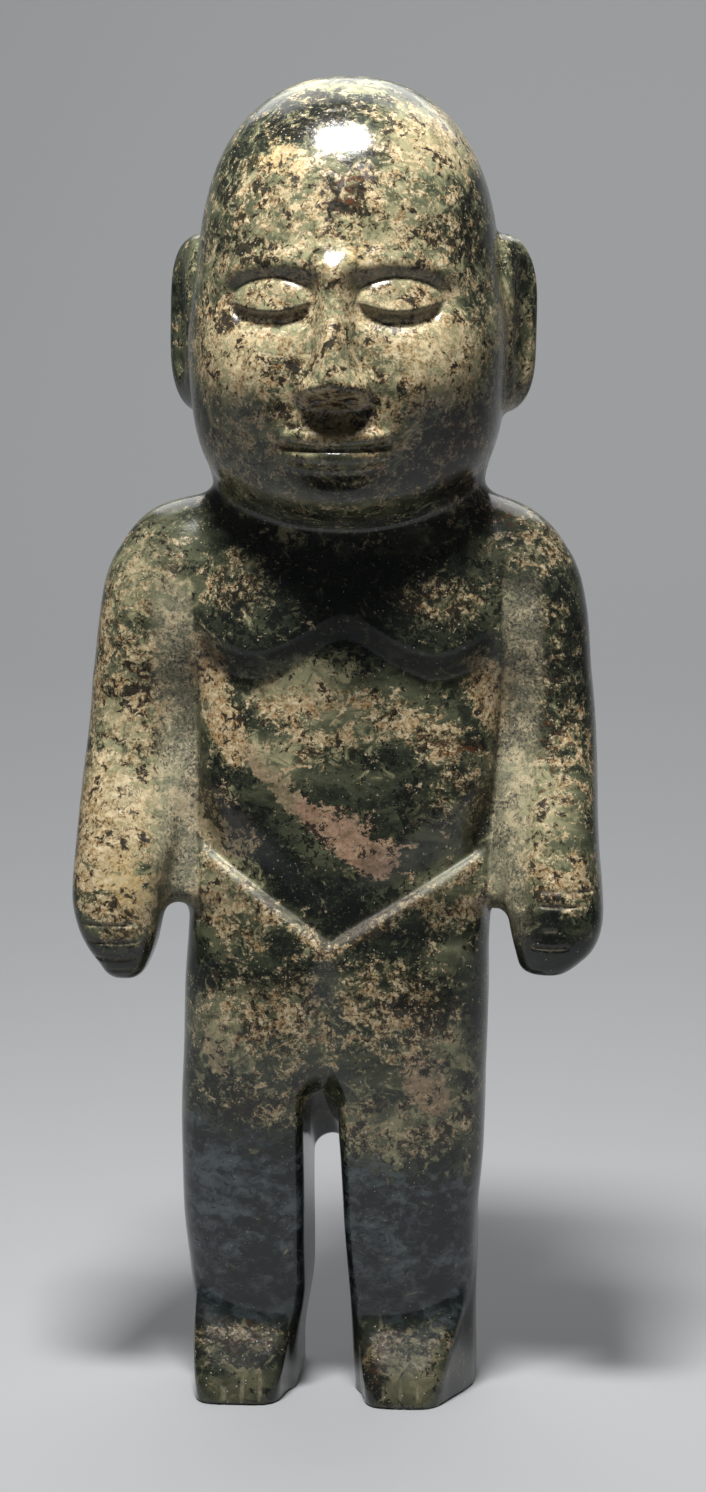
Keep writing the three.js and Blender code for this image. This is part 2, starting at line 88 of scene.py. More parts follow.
# Where the middle of each shoulder lies, and half its width, depth and height
SHOULDER_X = (-33.7, 35.6)
SHOULDER_Z = 180
SHOULDER_HALF = (19.8, 16.6, 25.2)
# The recessed web between arm and torso: how far out and how high, half its width, depth and height
WEB_OUT = 38
WEB_Z = 150
WEB_HALF = (8.5, 9.25, 36.2)
TOE_Y = -25.8
# Where a foot's inner and outer edges run, at the toes and at the heel
LEFT_FOOT = (-12.0, -30.8, -9.4, -32.4)
RIGHT_FOOT = (8.4, 24.8, 5.2, 31.2)
# The ears: how far out and how high, half their thickness, depth and height, how far their ends lean in
# and how far they turn back, in radians
EAR_OUT = 36.5
EAR_Z = 244.9
EAR_HALF = (3.4, 8.4, 20.4)
EAR_TUCK = 3.4
EAR_TURN = 0.42
EYE_X = 14
EYE_Z = 250
EYE_HALF_X = 9.2
EYE_HALF_Z = 5
MOUTH_Z = 218.2
MOUTH_HALF = 12.4

# How finely the blank is cut, and the bend between neighbouring corners that gets a finer cut
BLANK_CELL = 1.8
BENDS = (11.5, 15)
EVENINGS = 2

# height, left side, right side, front, back
TRUNK = (
    (0, -32.6, 31.4, -13.0, 18.5),
    (14, -33.1, 31.5, -14.5, 18.0),
    (29, -34.1, 32.0, -16.2, 17.0),
    (42, -35.3, 32.4, -17.2, 16.6),
    (56, -35.6, 33.5, -18.2, 17.2),
    (75, -35.2, 34.1, -19.4, 19.2),
    (92, -34.6, 34.5, -20.2, 20.6),
    (106, -33.8, 34.6, -20.0, 20.0),
    (124, -33.0, 36.2, -18.8, 17.4),
    (142, -32.6, 37.8, -19.4, 16.4),
    (162, -32.4, 38.4, -18.6, 17.6),
    (182, -32.2, 38.2, -17.6, 19.4),
    (198, -30.0, 35.0, -15.5, 18.8),
    (212, -26.0, 31.0, -12.0, 16.0),
)

# height, outer and inner distance from the middle, how far each sits to the right, front, back
ARM = (
    (96.6, 50.0, 0.8, 45.6, 0.4, -19.5, -14.0),
    (98, 51.1, 0.3, 44.2, 0.8, -22.0, -11.0),
    (101, 53.7, 0.8, 42.3, 0.6, -23.8, -8.0),
    (105, 57.4, 1.5, 40.9, 0.7, -24.8, -5.2),
    (110, 59.6, 1.4, 39.8, 0.6, -25.1, -2.2),
    (116, 60.3, 0.9, 38.8, 0.6, -24.8, 1.8),
    (126, 59.7, 0.5, 37.3, 1.2, -22.8, 8.0),
    (134, 59.2, 0.5, 36.5, 1.3, -20.2, 11.8),
    (142, 58.8, 0.6, 35.7, 1.6, -17.0, 14.2),
    (150, 58.4, 0.7, 34.9, 2.0, -14.2, 15.7),
    (158, 57.9, 0.8, 33.8, 2.3, -12.8, 16.4),
    (166, 57.1, 0.7, 32.2, 2.5, -12.6, 16.9),
    (176, 55.1, 0.7, 29.8, 2.8, -12.6, 17.6),
    (190, 51.2, 0.7, 26.5, 2.5, -11.5, 16.5),
)

# distance from the breastbone, height of the chest pads' lower edge
PAD_EDGE = (
    (0, 175.2), (3, 174.4), (7, 172.0), (11, 169.6), (16, 167.3),
    (20, 166.2), (25, 167.0), (30, 169.4), (35, 172.4), (42, 177.0),
)

# height, distance of the groove between torso and arm to the left and to the right
ARM_GROOVE = (
    (106, 30.4, 34.8), (120, 31.0, 35.5), (132, 31.5, 35.9), (150, 31.7, 37.4),
    (168, 31.7, 38.5), (184, 32.4, 38.4), (194, 33.4, 37.9),
)

# height, how far the nose stands out, its half width
NOSE = (
    (222, 0, 8.4), (226.6, 0.2, 8.4), (229.4, 4.4, 8.6), (231.4, 7.6, 8.2), (234, 8.2, 7.0),
    (240, 6.6, 5.8), (248, 4.4, 5.2), (254, 3.0, 5.4), (260, 1.6, 6.6), (268, 0.5, 9.0), (278, 0, 10.0),
)


# Shaping helpers: all take and give arrays, one value for each point
def smoothstep(start, end, v):
    t = np.clip((v - start) / (end - start), 0, 1)
    return t * t * (3 - 2 * t)


def soft_min(a, b, r):
    h = np.maximum(r - np.abs(a - b), 0) / r
    return np.minimum(a, b) - h * h * r / 4


def soft_max(a, b, r):
    return -soft_min(-a, -b, r)


def hill(u, v, wide, high):
    return np.exp(-((u / wide) ** 2) - (v / high) ** 2)


def oval(u, v, half_u, half_v, power):
    """Distance to a rounded outline: its scaled radius divided by how fast that grows"""
    a = np.abs(u) / half_u
    b = np.abs(v) / half_v
    g = (a**power + b**power + 1e-9) ** (1 / power)
    slope = g ** (1 - power) * np.hypot(a ** (power - 1) / half_u, b ** (power - 1) / half_v)
    return (g - 1) / np.maximum(slope, 1 / 60)


def egg(x, y, z, half_x, half_y, half_z, power):
    a = np.abs(x) / half_x
    b = np.abs(y) / half_y
    c = np.abs(z) / half_z
    g = (a**power + b**power + c**power + 1e-9) ** (1 / power)
    lean = power - 1
    slope = g**-lean * np.sqrt((a**lean / half_x) ** 2 + (b**lean / half_y) ** 2 + (c**lean / half_z) ** 2)
    return (g - 1) / np.maximum(slope, 1 / 60)


def slab(x, y, z, half_x, half_y, half_z, radius):
    a = np.abs(x) - half_x + radius
    b = np.abs(y) - half_y + radius
    c = np.abs(z) - half_z + radius
    outside = np.sqrt(np.maximum(a, 0) ** 2 + np.maximum(b, 0) ** 2 + np.maximum(c, 0) ** 2)
    return outside + np.minimum(np.maximum(a, np.maximum(b, c)), 0) - radius


def curve(rows, at):
    """Smooth curve through a table's rows, read at values of their first column"""
    table = np.array(rows, float)
    start, end = table[:-1], table[1:]
    slope = np.empty_like(table)
    slope[1:-1] = (table[2:] - table[:-2]) / (table[2:, :1] - table[:-2, :1])
    slope[0] = (table[1] - table[0]) / (table[1, 0] - table[0, 0])
    slope[-1] = (table[-1] - table[-2]) / (table[-1, 0] - table[-2, 0])
    at = np.clip(at, table[0, 0], table[-1, 0])
    i = np.clip(np.searchsorted(table[:, 0], at, side="right") - 1, 0, len(start) - 1)
    h = end[i, 0] - start[i, 0]
    q = (at - start[i, 0]) / h
    rise = q * q * (3 - 2 * q)
    hump = h * q * (1 - q)
    columns = []
    for k in range(1, table.shape[1]):
        bend = slope[i, k] * (1 - q) - slope[i + 1, k] * q
        columns.append(start[i, k] + (end[i, k] - start[i, k]) * rise + hump * bend)
    return columns


def between(x, y, left, right, front, back, power):
    wide = (right - left) / 2
    deep = (back - front) / 2
    return oval(x - left - wide, y - front - deep, wide, deep, power)


def on_front(y):
    """1 on the front half, 0 on the back"""
    return smoothstep(4, -6, y)


# The figure's forms, each about the distance to its own surface, below zero inside
def trunk(x, y, z):
    left, right, front, back = curve(TRUNK, z)
    shape = between(x, y, left, right, front, back, 3.2)
    top = 193.5 + 0.0125 * (x - HEAD_X) ** 2 + 0.22 * (y + 16)
    return soft_max(shape, (z - top) * 0.9, 9)


def over_crease(x, z):
    """Height above the V that parts belly and hips, measured square to its arms"""
    reach = x - CREASE_X
    rise = np.where(reach < 0, -CREASE_RISE[0] * reach, CREASE_RISE[1] * reach)
    return (z - CREASE_Z - rise) * 0.82


def under_pads(x, z):
    """Height of the chest pads' lower edge over a point"""
    return curve(PAD_EDGE, np.abs(x - PADS_X))[0] - z


def torso(x, y, z):
    front = on_front(y)
    above = over_crease(x, z)
    plain = trunk(x, y, z)
    belly = plain + front * 1.7 * smoothstep(13, 0.5, above)
    hips = soft_max(plain - 0.5 * front, above, 2.8)
    body = soft_min(belly, hips, 0.6)
    over = soft_max(-under_pads(x, z), np.zeros_like(z), 1.4)
    bevel = soft_min(over / PAD_BEVEL, np.ones_like(z), 0.5)
    lift = PAD_LIFT * bevel * smoothstep(206, 180, z) * hill(np.abs(x - PADS_X) - 19, 0, 22, 1)
    chest = body - front * lift
    depth = (2.2 * smoothstep(106, 90, z) + 0.3) * smoothstep(108, 102, z)
    cleft = front * depth * hill(x - GAP_X - 0.9, 0, 3, 1)
    return chest + cleft + smoothstep(6, 14, y) * back_relief(x - 0.02 * (z - 105), z)


def back_relief(across, z):
    """Spine furrow, shoulder blades, seat and calves, cut in or standing out of the plain back"""
    s = np.abs(across)
    furrow = 1.5 * hill(s, 0, 3.6, 1) * smoothstep(96, 116, z) * smoothstep(198, 178, z)
    cleft = 2.4 * hill(s, 0, 2.6, 1) * smoothstep(64, 76, z) * smoothstep(112, 100, z)
    blades = 1.2 * hill(s - 17, z - 172, 12, 17)
    seat = 2.2 * hill(s - 16, z - 88, 14, 16)
    calves = 1.4 * hill(s - 18, z - 36, 10, 18)
    return furrow + cleft - blades - seat - calves


def leg_gap(x, y, z):
    top = GAP_TOP - 0.6 * y
    low = np.clip(60 - z, 0, 60)
    across = x - GAP_X
    widened = np.where(across > 0, 0.065 * low - 0.8, 2.4 * smoothstep(34, 54, low))
    narrow = np.hypot(across, np.maximum(z - top, 0)) - GAP_HALF
    return narrow - widened * smoothstep(0, 3, np.abs(across))


def foot(x, y, z, side):
    inner_toe, outer_toe, inner_heel, outer_heel = LEFT_FOOT if side < 0 else RIGHT_FOOT
    t = smoothstep(-26, -4, y)
    flare = side * 0.1 * np.minimum(z, 20) * (1 - t)
    inner = inner_toe + (inner_heel - inner_toe) * t - flare
    outer = outer_toe + (outer_heel - outer_toe) * t + flare
    sides = np.abs(x - (inner + outer) / 2) - np.abs(outer - inner) / 2
    plan = soft_max(soft_max(sides, TOE_Y - y, 6), y - 8, 4)
    top = 3.6 + 1.34 * (y - TOE_Y)
    return soft_max(plan, (z - top) * 0.6, 3)


def arm(x, y, z, side):
    outer, outer_shift, inner, inner_shift, front, back = curve(ARM, z)
    a = side * outer + outer_shift
    b = side * inner + inner_shift
    power = 2.5 + 0.6 * smoothstep(156, 140, z)
    limb = between(x, y, np.minimum(a, b), np.maximum(a, b), front, back, power)
    end, hand_edge, wrist_edge = LEFT_HAND if side < 0 else RIGHT_HAND
    edge = hand_edge + (wrist_edge - hand_edge) * smoothstep(125, 132, z)
    bevel = (edge - side * (x - 0.8)) * 0.62 + (front + 0.3 - y) * 0.78
    length = soft_max(soft_max(soft_max(limb, bevel, 1.8), end - z, 2.6), z - ARM_TOP, 6)
    middle = SHOULDER_X[0] if side < 0 else SHOULDER_X[1]
    shoulder = egg(x - middle, y - 2.5, z - SHOULDER_Z, *SHOULDER_HALF, 2.05)
    lean = 0.2 * np.maximum(WEB_Z - z, 0)
    web = slab(x - 3 - side * WEB_OUT, y - 0.75 + lean, z - WEB_Z, *WEB_HALF, 4.5)
    return soft_min(soft_min(length, shoulder, 6), web, 4)


def neck(x, y, z):
    round_neck = oval(x - HEAD_X, y - 0.2, *NECK_HALF, 2.5)
    column = soft_max(soft_max(round_neck, z - 216, 6), 180 - z, 4)
    out = np.abs(x - HEAD_X)
    ridge = 198 - 0.56 * np.maximum(out - 27, 0)
    slope = np.sqrt(np.maximum(out - 37, 0) ** 2 + (y - 3) ** 2 + (z - ridge) ** 2) - 11.5
    return soft_min(column, slope, 4)


def ear(x, y, z, side):
    half_thick, half_deep, half_high = EAR_HALF
    high = z - EAR_Z
    tuck = EAR_TUCK * np.minimum(np.abs(high) / half_high, 1) ** 4
    across = side * (x - HEAD_X) - EAR_OUT + tuck
    deep = y - 7
    u = across * cos(EAR_TURN) - deep * sin(EAR_TURN)
    v = across * sin(EAR_TURN) + deep * cos(EAR_TURN)
    flap = soft_max(oval(v, high, half_deep, half_high, 3), np.abs(u) - half_thick, 3)
    dish = egg(u - 4.6, v + 0.6, high - 0.4, 2.6, 4.4, 14, 2.6)
    return soft_max(flap, -dish, 1.4)


def face(x, z):
    """How far the carving of the face stands out from the plain skull"""
    s = np.abs(x)
    nose_height, nose_width = curve(NOSE, z)
    t = np.clip(s / nose_width, 0, 1)
    h = nose_height * (1 - t * t) ** 2 * (1 + 0.7 * t * t)
    h += 2.6 * hill(s - 5.6, z - 231.4, 2.9, 2.9)
    h -= 1.3 * hill(s - 3.7, z - 228.9, 1.3, 0.8)
    brow = 258.4 - 0.012 * (s - 12) ** 2
    h += 1.5 * hill(z - brow, 0, 3.4, 1) * smoothstep(32, 18, s)
    h -= 3 * hill(s - EYE_X, z - EYE_Z - 0.4, 9.6, 5)
    across_eye = (s - EYE_X) / EYE_HALF_X
    lid = 1 - across_eye**2 - ((z - EYE_Z) / EYE_HALF_Z) ** 2
    h += 3.3 * np.maximum(lid, 0) ** 0.75
    lash = z - (EYE_Z - 2.4) - 2.2 * across_eye**2
    under_lash = smoothstep(0.4, -0.4, lash) * smoothstep(-6, -1, lash)
    h -= 0.9 * smoothstep(1.05, 0.75, np.abs(across_eye)) * under_lash
    h += 2.4 * hill(s - 19, z - 232.5, 10, 9)
    h += 3 * hill(x, z - 218.5, 13, 9)
    h += 5 * hill(x, z - 206.5, 13, 6.2)
    width = np.maximum(1 - (x / MOUTH_HALF) ** 2, 0)
    mouth = MOUTH_Z + 0.004 * x * x
    upper = (z - mouth - 2) / (0.7 + 1.5 * width**0.5)
    lower = (mouth - 2.2 - z) / (0.7 + 1.7 * width**0.5)
    h += 2.3 * width**0.5 * np.exp(-(upper**4))
    h += 2.5 * width**0.6 * np.exp(-(np.abs(lower) ** 3))
    h -= 1.0 * hill(z - mouth, 0, 0.8, 1) * width**0.5
    return h - 0.6 * hill(x, z - 225, 2, 2.6)


def head(x, y, z):
    across = x - HEAD_X
    crown = egg(across, y - 1.5, z - CROWN_Z, *CROWN_HALF, 2.35)
    jaw = egg(across, y - 0.5, z - JAW_Z, *JAW_HALF, 2.8)
    shape = soft_min(crown, jaw, 12) - face(across, z) * smoothstep(-8, -20, y)
    for side in (-1, 1):
        shape = soft_min(shape, ear(x, y, z, side), 1.5)
    return shape


# Incised finger lines: where the middle is across and up, half the length, the depth
FINGER_LINES = (
    (-50, 110.2, 5.6, 0.75),
    (-49, 106.2, 5.4, 0.6),
    (-48.4, 102.4, 4.6, 0.6),
    (-47, 99.8, 2.6, 0.4),
    (53.6, 119.0, 5.6, 0.65),
    (52.0, 115.8, 4.4, 0.6),
    (49.6, 110.6, 1.6, 0.4),
    (49.6, 106.6, 3.9, 0.6),
)
# Incised toe lines: where they run and their depth
TOE_LINES = ((-24.0, 0.5), (-19.9, 0.5), (-15.9, 0.5), (12.4, 0.2), (16.4, 0.2), (20.2, 0.2))


def beside_torso(x, z):
    """How far out from the groove between torso and arm a point lies"""
    left, right = curve(ARM_GROOVE, z)
    return np.where(x < 0, -x - left, x - right)


def incised(x, y, z):
    """How deep the finger lines, the toe lines and the groove beside each arm are cut"""
    depth = np.zeros_like(x)
    for middle, height, half, deep in FINGER_LINES:
        bow = 0.012 * (x - middle) ** 2
        along = smoothstep(half + 0.8, half - 0.8, np.abs(x - middle))
        depth += deep * along * hill(z - height - bow, 0, 0.3, 1) * smoothstep(-8, -14, y)
    for middle, deep in TOE_LINES:
        depth += deep * hill(x - middle, z - 3.2, 0.34, 2.2) * smoothstep(-20, -24, y)
    groove = 0.8 * hill(beside_torso(x, z), 0, 0.75, 1) * smoothstep(0, -6, y)
    return depth + groove * smoothstep(106, 112, z) * smoothstep(193, 186, z)


def hand_wander(x, y, z):
    """The slight waviness that rubbing by hand leaves in a polished surface"""
    long = np.sin(x / 9.1 + z / 13 + 0.7) * np.sin(z / 8.3 - y / 10.5 + 2.1)
    short = np.sin(x / 4.3 - y / 5.1 + 1.9) * np.sin(z / 4.7 + x / 11 + 0.4)
    return 0.13 * long + 0.05 * short


def stone(x, y, z):
    """Below zero inside the stone, about the distance to its surface elsewhere"""
    body = soft_max(torso(x, y, z), -leg_gap(x, y, z), 6)
    for side in (-1, 1):
        low = z < 40
        body[low] = soft_min(body[low], foot(x[low], y[low], z[low], side), 2)
        high = z > 85
        blend = 2 + 2.4 * smoothstep(124, 115, z[high])
        body[high] = soft_min(body[high], arm(x[high], y[high], z[high], side), blend)
    top = z > 165
    body[top] = soft_min(body[top], neck(x[top], y[top], z[top]), 4)
    body[top] = soft_min(body[top], head(x[top], y[top], z[top]), 3)
    return np.maximum(body + incised(x, y, z) + hand_wander(x, y, z), -z)


# Cutting the blank down to those forms
def slope_of(points):
    """Value of the stone's form at each point, and the direction in which it grows"""
    step = 0.06
    x, y, z = points.T
    here = stone(x, y, z)
    grow = [stone(*(points + step * np.eye(3)[axis]).T) - here for axis in range(3)]
    return here, np.stack(grow, axis=1) / step


def settle(points, rounds):
    """Moves points straight onto the surface"""
    points = points.copy()
    for _ in range(rounds):
        here, grow = slope_of(points)
        steep = np.maximum((grow**2).sum(axis=1), 0.05)
        points -= grow * np.clip(here / steep, -0.8, 0.8)[:, None]
    return points


def corners(mesh):
    """A mesh's corners in the carving's own millimetres"""
    flat = np.empty(len(mesh.vertices) * 3)
    mesh.vertices.foreach_get("co", flat)
    return flat.reshape(-1, 3) / MM + (FOOTPRINT_X, FOOTPRINT_Y, 0)


def put_corners(mesh, points):
    flat = (points - (FOOTPRINT_X, FOOTPRINT_Y, 0)) * MM
    mesh.vertices.foreach_set("co", flat.ravel())
    mesh.update()


def edges_of(mesh):
    ends = np.empty(len(mesh.edges) * 2, int)
    mesh.edges.foreach_get("vertices", ends)
    return ends.reshape(-1, 2)


def even_out(points, ends, grow):
    """Slides corners along the surface towards the middle of their neighbours"""
    count = np.bincount(ends.ravel(), minlength=len(points))
    middle = np.empty_like(points)
    for axis in range(3):
        near = np.bincount(ends[:, 0], points[ends[:, 1], axis], len(points))
        near += np.bincount(ends[:, 1], points[ends[:, 0], axis], len(points))
        middle[:, axis] = near / np.maximum(count, 1)
    move = middle - points
    normal = grow / np.maximum(np.linalg.norm(grow, axis=1), 1e-6)[:, None]
    return points + 0.5 * (move - normal * (move * normal).sum(axis=1)[:, None])


def fit_to_form(mesh):
    """Moves the selected corners onto the form and spaces them evenly over it"""
    chosen = np.empty(len(mesh.vertices), bool)
    mesh.vertices.foreach_get("select", chosen)
    ends = edges_of(mesh)
    points = corners(mesh)
    points[chosen] = settle(points[chosen], 3)
    for _ in range(EVENINGS):
        grow = np.zeros_like(points)
        grow[chosen] = slope_of(points[chosen])[1]
        evened = even_out(points, ends, grow)
        points[chosen] = settle(evened[chosen], 1)
    put_corners(mesh, points)


def select_bent(mesh, degrees):
    """Selects the corners where the surface turns by more than some degrees to a neighbour"""
    grow = slope_of(corners(mesh))[1]
    normal = grow / np.linalg.norm(grow, axis=1)[:, None]
    ends = edges_of(mesh)
    bent = (normal[ends[:, 0]] * normal[ends[:, 1]]).sum(axis=1) < cos(radians(degrees))
    chosen = np.zeros(len(mesh.vertices), bool)
    chosen[ends[bent].ravel()] = True
    mesh.vertices.foreach_set("select", chosen)
    mesh.edges.foreach_set("select", np.zeros(len(mesh.edges), bool))
    mesh.polygons.foreach_set("select", np.zeros(len(mesh.polygons), bool))


def make_active(piece):
    bpy.ops.object.select_all(action="DESELECT")
    piece.select_set(True)
    bpy.context.view_layer.objects.active = piece


def carve_figure():
    solid = frame["nodes"]["standing_figure"]
    figure = bpy.data.objects.new("carved_figure", solid.data.copy())
    bpy.context.scene.collection.objects.link(figure)
    make_active(figure)
    bpy.ops.object.mode_set(mode="EDIT")
    bpy.ops.mesh.select_mode(type="VERT")
    bpy.ops.mesh.select_all(action="SELECT")
    bpy.ops.mesh.remove_doubles(threshold=1e-6)
    bpy.ops.object.mode_set(mode="OBJECT")
    blank = figure.modifiers.new("blank", "REMESH")
    blank.mode = "VOXEL"
    blank.voxel_size = BLANK_CELL * MM
    blank.adaptivity = 0
    bpy.ops.object.modifier_apply(modifier=blank.name)
    bpy.ops.object.mode_set(mode="EDIT")
    bpy.ops.mesh.select_all(action="SELECT")
    bpy.ops.object.mode_set(mode="OBJECT")
    fit_to_form(figure.data)
    for degrees in BENDS:
        select_bent(figure.data, degrees)
        bpy.ops.object.mode_set(mode="EDIT")
        bpy.ops.mesh.select_mode(type="VERT")
        bpy.ops.mesh.select_more()
        bpy.ops.mesh.subdivide(number_cuts=1, quadcorner="INNERVERT")
        bpy.ops.object.mode_set(mode="OBJECT")
        fit_to_form(figure.data)
    bpy.ops.object.shade_smooth()
    return figure


# Where the stone changes colour on the front: middle x and z, half width and height,
# how far its long side rises to the right in degrees, how much of it is there
TAN = (
    (4, 250, 34, 44, 0, 0.42),
    (-9, 280, 9, 5, 0, 0.55),
    (22, 284, 12, 9, 0, 0.5),
    (-20, 240, 12, 13, 0, 0.66),
    (24, 238, 12, 14, 0, 0.66),
    (4, 226, 18, 8, 0, 0.62),
    (4, 256, 9, 9, 0, 0.55),
    (-20, 218, 10, 12, 0, 0.3),
    (30, 214, 8, 12, 0, 0.5),
    (40, 241, 5, 13, 0, 0.4),
    (-42, 186, 12, 14, 20, 0.3),
    (-54, 168, 5, 24, 0, 0.42),
    (-45, 160, 10, 22, 0, 0.4),
    (-50, 132, 10, 18, 0, 0.9),
    (-46, 116, 8, 9, 0, 0.75),
    (46, 196, 12, 8, 0, 0.34),
    (48, 172, 12, 18, 0, 0.2),
    (54, 146, 7, 16, 0, 0.34),
    (46, 136, 8, 14, 0, 0.34),
    (52, 122, 9, 7, 0, 0.55),
    (-22, 187, 10, 7, 0, 0.32),
    (24, 184, 12, 6, 0, 0.38),
    (35, 163, 5, 9, 15, 0.85),
    (-28, 167, 9, 4.5, -80, 1.05),
    (-24, 154, 8, 4.5, -68, 1.15),
    (-8, 161, 11, 5, 0, 0.6),
    (12, 158, 15, 5, -8, 0.52),
    (-2, 152, 14, 4, 10, 0.45),
    (26, 151, 10, 4, -14, 0.5),
    (30, 140, 8, 9, 0, 0.3),
    (-24, 113, 11, 6, -36, 0.6),
    (30, 114, 10, 5, 31, 0.45),
    (-12, 88, 20, 13, 0, 0.4),
    (14, 90, 16, 13, -20, 0.42),
    (-16, 68, 16, 8, 0, 0.28),
    (16, 64, 16, 9, 0, 0.36),
    (-22, 15, 12, 5, 0, 0.42),
    (11, 11, 9, 4, 52, 0.42),
    (24, 14, 5, 4, 60, 0.3),
)
DARK_STONE_AND_SHADOW = (
    (-6, 290, 15, 5.5, 18, 0.9),
    (-15, 279, 3, 5, 0, 0.6),
    (-22, 276, 3, 7, 0, 0.7),
    (6, 273, 6, 7, 0, 0.75),
    (32, 266, 6, 13, 0, 0.6),
    (-18, 262, 8, 4, -30, 0.6),
    (22, 264, 8, 4, 35, 0.6),
    (-24, 246, 6, 3, 0, 0.5),
    (28, 215, 8, 12, 0, 0.9),
    # Painted shadow under the chin: the next two rows darken the neck and the upper chest
    (4, 212, 16, 5, 0, 0.5),
    (4, 184, 32, 14, 0, 0.7),
    (50, 172, 11, 18, 0, 0.7),
    (30, 151, 8, 3, -15, 0.6),
    (-17, 128, 28, 7, -46, 0.9),
    (6, 113, 12, 8, 0, 0.8),
    (20, 138, 15, 12, 0, 0.35),
    (-30, 98, 7, 5, 0, 0.7),
    (-8, 98, 14, 4, 0, 0.45),
    (-24, 68, 10, 7, 0, 0.6),
    (22, 92, 14, 6, -30, 0.6),
    (0, 38, 60, 26, 0, 0.85),
    (-50, 103, 9, 5, 0, 0.6),
    (50, 106, 10, 8, 0, 0.7),
    (-22, 17, 10, 3, 0, 0.5),
    (-18, 10, 5, 2.5, 0, 0.8),
    (10, 6, 3.5, 5, -30, 0.8),
    (14, 19, 16, 3, 0, 0.45),
)
PALE = (
    (4, 250, 34, 44, 0, 0.5),
    (22, 284, 12, 10, 0, 0.7),
    (0, 297, 16, 5, 0, 0.6),
    (-20, 238, 12, 12, 0, 0.75),
    (26, 238, 12, 12, 0, 0.75),
    (-22, 216, 10, 12, 0, 0.45),
    (40, 243, 6, 15, 0, 0.6),
    (-42, 186, 12, 14, 0, 0.5),
    (-47, 140, 12, 24, 0, 0.72),
    (46, 138, 9, 14, 0, 0.7),
    (-6, 166, 15, 6, 8, 0.75),
    (-13, 149, 8, 5, 0, 0.6),
    (4, 152, 16, 9, 0, 0.35),
    (-24, 120, 8, 8, 0, 0.6),
    (14, 62, 17, 8, 0, 0.6),
    (-26, 84, 7, 9, 0, 0.5),
    (28, 76, 7, 14, 0, 0.45),
    (-22, 6, 11, 7, 0, 0.6),
    (17, 9, 12, 9, 0, 0.7),
)
OCHRE = (
    (-45, 120, 7, 9, 30, 0.7),
    (-10, 281, 8, 6, 0, 0.6),
    (6, 266, 8, 12, 0, 0.5),
    (22, 71, 6, 4, -40, 0.8),
    (-13, 9, 5, 5, 0, 0.6),
    (11, 12, 5, 7, -30, 0.7),
    (24, 185, 9, 5, 0, 0.5),
    (34, 213, 6, 12, 0, 0.5),
)
RUST = (
    (27, 151, 9, 2.2, -14, 0.75),
    (59, 166, 2.2, 10, 0, 0.7),
    (6, 274, 6, 7, 0, 0.55),
    (24, 184, 8, 5, 0, 0.3),
    (-6, 148, 3, 2, 0, 0.6),
    (0, 208, 3, 2, 0, 0.5),
    (34, 222, 4, 10, 0, 0.4),
    (38, 203, 9, 4, -20, 0.6),
    (-40, 203, 9, 4, 20, 0.4),
    (-52, 178, 5, 14, 0, 0.35),
    (48, 150, 8, 16, 0, 0.4),
    (-20, 92, 12, 8, 0, 0.3),
    (22, 86, 12, 12, 0, 0.35),
    (-14, 250, 22, 20, 0, 0.16),
    (22, 236, 12, 14, 0, 0.16),
    (-18, 13, 9, 5, 0, 0.55),
    (11, 11, 8, 6, 50, 0.65),
)
# Where everything is darker: mostly painted shade, on the feet, the hips, the ends of the hands, the
# shoulders and the chest under the chin, and partly darker stone
SHADE_AND_DARK_STONE = (
    (0, 6, 60, 22, 0, 0.74),
    (-26, 100, 9, 5, -20, 0.4),
    (-10, 96, 9, 4, 15, 0.3),
    (24, 92, 14, 5, -32, 0.4),
    (-22, 64, 12, 9, 0, 0.35),
    (-40, 198, 16, 12, 0, 0.42),
    (45, 194, 16, 14, 0, 0.48),
    (0, 72, 42, 22, 0, 0.24),
    (-48, 101, 12, 8, 0, 0.5),
    (50, 104, 12, 9, 0, 0.6),
    (20, 112, 15, 7, 31, 0.6),
    (-20, 112, 14, 5, -36, 0.34),
    (30, 214, 9, 14, 0, 0.25),
    (4, 186, 26, 11, 0, 0.5),
)
# Inclusions: middle x and z, half length and half width, how far they rise to the right in degrees,
# how pink they are, and how much wider they get towards the right end
INLAYS = (
    (-27, 133, 11.5, 5.2, -36, 0.25, 0.2),
    (-13, 143, 11, 2.6, -44, 0.35, 0.3),
    (2, 131, 15, 4.4, -36, 0.9, 0.35),
    (22, 72, 7.6, 4.4, -42, 0.5, 0.1),
    (-27, 80, 5.0, 2.0, -70, 0.2, 0.2),
)


def leaned(x, z, middle_x, middle_z, degrees):
    """Distances along and across a patch's long side"""
    c, s = cos(radians(degrees)), sin(radians(degrees))
    return (x - middle_x) * c + (z - middle_z) * s, (z - middle_z) * c - (x - middle_x) * s


def patches(x, z, rows):
    share = np.zeros_like(x)
    for middle_x, middle_z, wide, high, lean, strength in rows:
        u, v = leaned(x, z, middle_x, middle_z, lean)
        share = np.maximum(share, strength * np.exp(-(((u / wide) ** 2 + (v / high) ** 2) ** 1.6)))
    return share


def inlay_edge(x, z):
    """Distance inside the nearest inclusion's edge, below zero outside, and how pink it is"""
    best = np.full_like(x, -20.0)
    pink = np.zeros_like(x)
    for middle_x, middle_z, long, wide, lean, tone, taper in INLAYS:
        u, v = leaned(x, z, middle_x, middle_z, lean)
        inside = -oval(u, v / (1 + taper * np.clip(u / long, -1, 1)), long, wide, 2.3)
        inside *= 1 - 0.76 * smoothstep(-1.2, 1.2, v)
        pink = np.where(inside > best, tone, pink)
        best = np.maximum(best, inside)
    return best, pink


def all_round(x, y, z, layout):
    """The front's layout, and on the back the same kind of stone with its bands higher or lower"""
    behind = smoothstep(-4, 9, y + 3 * np.sin(z / 17))
    return layout(x, z) * (1 - behind) + layout(x - 5, 0.9 * z + 36) * behind


